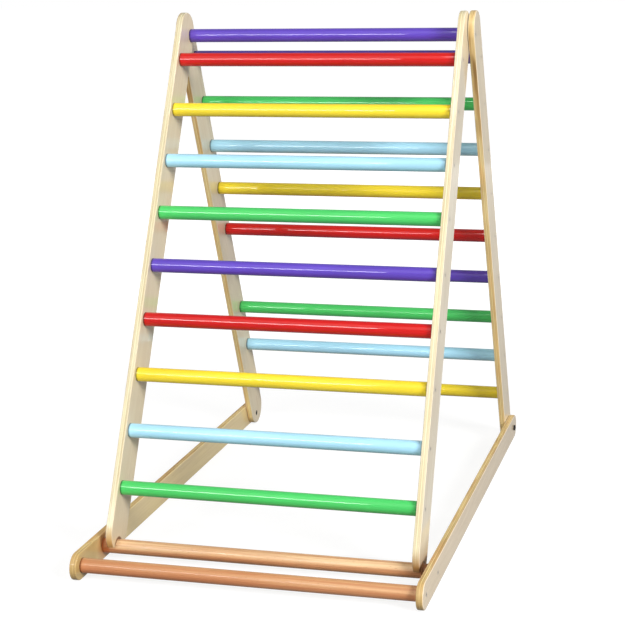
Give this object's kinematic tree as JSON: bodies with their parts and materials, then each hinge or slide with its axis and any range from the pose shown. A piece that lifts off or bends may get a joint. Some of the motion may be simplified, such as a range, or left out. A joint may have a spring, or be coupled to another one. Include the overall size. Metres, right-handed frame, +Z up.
{
  "type": "folding climbing triangle",
  "caption": "Folding climbing triangle for small children: two hinged plywood ladders with painted rungs on a low base frame with a hooked dowel.",
  "frame": {"origin": "on the floor, under the middle of the footprint", "axes": "+Z up, -Y towards the front ladder, +X to the right of someone who faces the front ladder"},
  "size_m": [0.6014, 1.0139, 0.916],
  "materials": {
    "birch_plywood": "clear satin lacquer, plies showing at the edges",
    "paint_purple": "gloss purple paint",
    "paint_red": "gloss red paint",
    "paint_yellow": "gloss yellow paint",
    "paint_sky": "gloss light blue paint",
    "paint_green": "gloss green paint",
    "beech": "clear satin lacquer on reddish wood",
    "zinc_steel": "zinc plated",
    "black_steel": "black oxide",
    "nylon": "natural nylon"
  },
  "bodies": {
    "rear_ladder": {"rear_rail_left": "birch_plywood", "rear_rail_right": "birch_plywood", "rear_rung_1": "paint_purple", "rear_rung_2": "paint_green", "rear_rung_3": "paint_sky", "rear_rung_4": "paint_yellow", "rear_rung_5": "paint_red", "rear_rung_6": "paint_purple", "rear_rung_7": "paint_green", "rear_rung_8": "paint_sky", "rear_rung_9": "paint_yellow", "rear_rung_screws": "zinc_steel", "hinge_bolts": "black_steel", "hinge_nuts": "black_steel", "hinge_washers": "nylon"},
    "front_ladder": {"front_rail_left": "birch_plywood", "front_rail_right": "birch_plywood", "top_rung": "paint_purple", "front_rung_1": "paint_red", "front_rung_2": "paint_yellow", "front_rung_3": "paint_sky", "front_rung_4": "paint_green", "front_rung_5": "paint_purple", "front_rung_6": "paint_red", "front_rung_7": "paint_yellow", "front_rung_8": "paint_sky", "front_rung_9": "paint_green", "front_rung_screws": "zinc_steel", "pivot_bolts": "zinc_steel", "pivot_inserts": "zinc_steel", "pivot_washers": "nylon"},
    "base_frame": {"base_rail_left": "birch_plywood", "base_rail_right": "birch_plywood", "hook_dowel": "beech", "front_dowel": "beech", "base_dowel_screws": "zinc_steel"}
  },
  "joints": [
    {"name": "base_fold", "type": "hinge", "parent": "rear_ladder", "child": "base_frame", "pos_m": [0, 0.46802, 0.023], "axis": [1, 0, 0], "range_deg": [0, 290]},
    {"name": "front_ladder_fold", "type": "hinge", "parent": "rear_ladder", "child": "front_ladder", "pos_m": [0, 0.06991, 0.87239], "axis": [1, 0, 0], "range_deg": [0, 51.5]}
  ],
  "couplings": [
    {"joint": "front_ladder_fold", "follows": "base_fold", "ratio": 0.1775}
  ]
}
